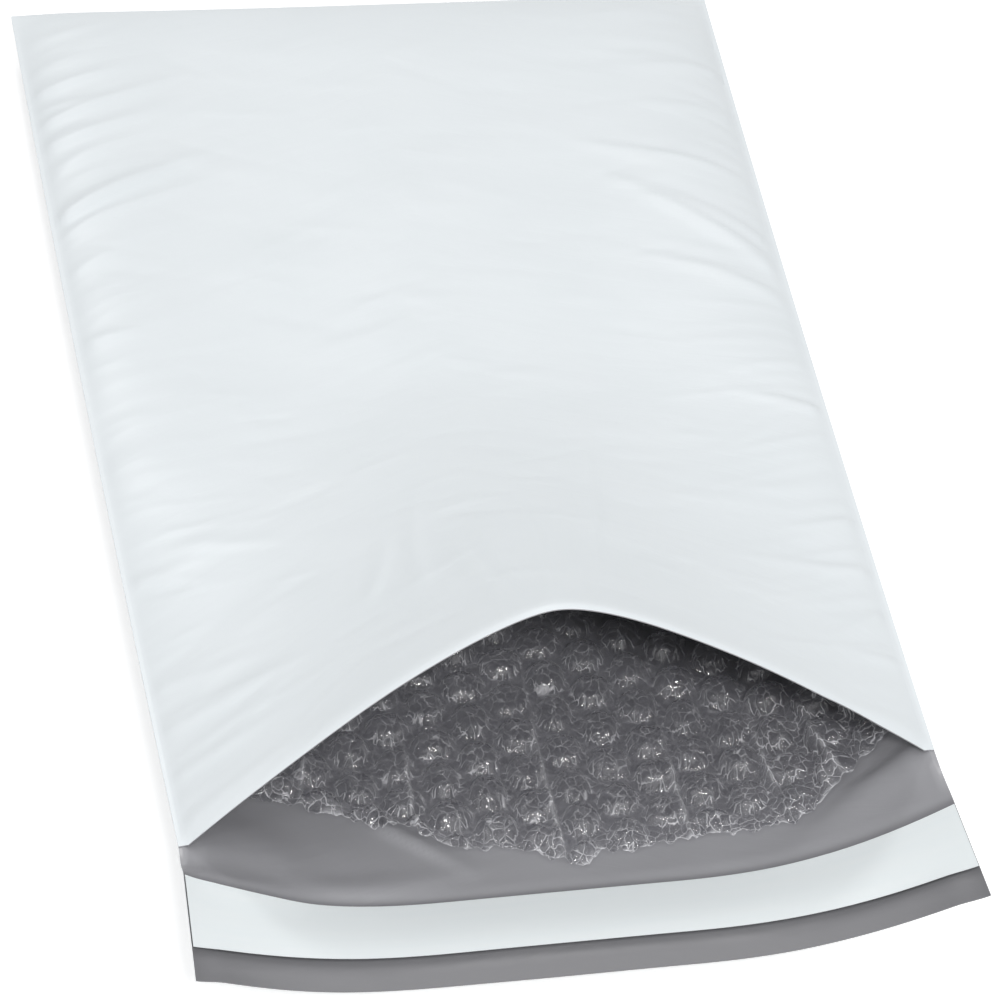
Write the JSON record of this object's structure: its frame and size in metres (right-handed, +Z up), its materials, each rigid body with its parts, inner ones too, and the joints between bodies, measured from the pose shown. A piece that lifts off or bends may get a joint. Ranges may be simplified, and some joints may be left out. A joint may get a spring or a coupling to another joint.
{
  "type": "padded envelope",
  "caption": "White poly mailing pouch lined with clear bubble film, lying flat with its mouth held open, grey inside, flap with a peel-off strip.",
  "frame": {"origin": "on the surface under the middle of the envelope's bounding box", "axes": "+Y along the envelope towards its closed end, the mouth and flap towards -Y, +X to the right seen from the mouth, +Z up"},
  "size_m": [0.184, 0.3486, 0.0633],
  "materials": {
    "outer_film": "satin white outside, grey inside",
    "bubble_lining": "clear, glossy",
    "adhesive_strip": "tacky, pale cream",
    "release_liner": "satin"
  },
  "bodies": {
    "root": {"outer_film": "outer_film", "bubble_lining": "bubble_lining", "adhesive_strip": "adhesive_strip", "release_liner": "release_liner"}
  },
  "joints": []
}
